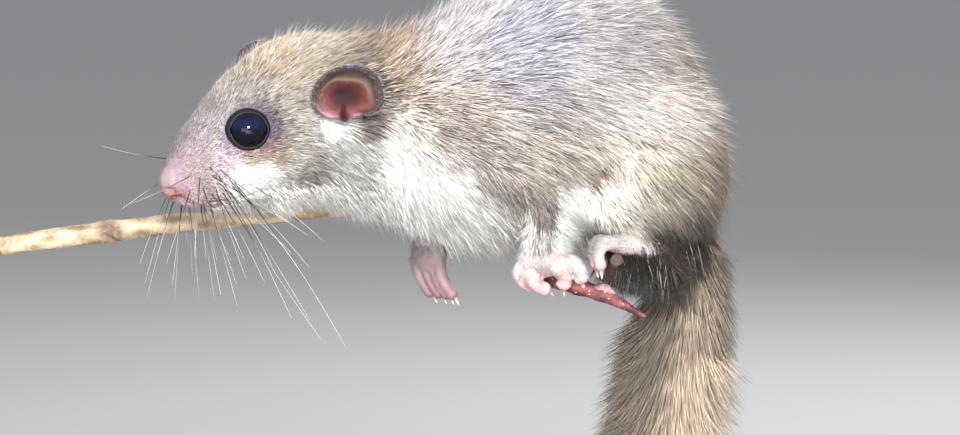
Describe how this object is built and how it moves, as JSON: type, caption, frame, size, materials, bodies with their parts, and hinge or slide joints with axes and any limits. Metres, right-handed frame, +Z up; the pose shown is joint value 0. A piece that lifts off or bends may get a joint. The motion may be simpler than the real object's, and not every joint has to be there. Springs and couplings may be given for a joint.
{
  "type": "edible dormouse",
  "caption": "Life-size edible dormouse crouching on a cut branch, bushy tail hanging, one hand gripping a thorn twig, on a flat display base with one rod.",
  "frame": {"origin": "centre of the display base's underside", "axes": "+Z up; the animal faces -X with its head turned a little towards -Y, and its left side is towards -Y"},
  "size_m": [0.1843, 0.092, 0.1982],
  "materials": {
    "fur": "dense short fur, grey-beige with dark roots and pale tips",
    "fur_pale": "dense short fur, cream to white",
    "tail": "long loose fur in overlapping locks, grey-brown",
    "skin": "bare or thinly haired pink skin",
    "ear": "thin, finely haired skin, dark rim and pink-brown cup",
    "eye": "wet glossy black",
    "claw": "pale horn",
    "bark": "smooth tan bark with knots",
    "twig": "reddish-maroon thorn bark with pale specks",
    "base_wood": "dark satin wood",
    "stand_metal": "brushed brass"
  },
  "bodies": {
    "root": {"head": "fur", "jaw": "fur_pale", "nose_pad": "skin", "neck": "fur", "torso": "fur", "ear_left": "ear", "ear_right": "ear", "eye_left": "eye", "eye_right": "eye", "arm_upper_left": "fur", "arm_upper_right": "fur", "forearm_left": "fur_pale", "forearm_right": "fur_pale", "hand_left": "skin", "hand_right": "skin", "thigh_left": "fur", "thigh_right": "fur", "shank_left": "fur_pale", "shank_right": "fur_pale", "foot_left": "skin", "foot_right": "skin", "tail_base": "tail", "tail_middle": "tail", "tail_tip": "tail", "perch_branch": "bark", "perch_spur": "twig", "perch_side_twig": "twig", "stand_base": "base_wood", "stand_collar": "stand_metal", "stand_rod": "stand_metal"}
  },
  "joints": []
}
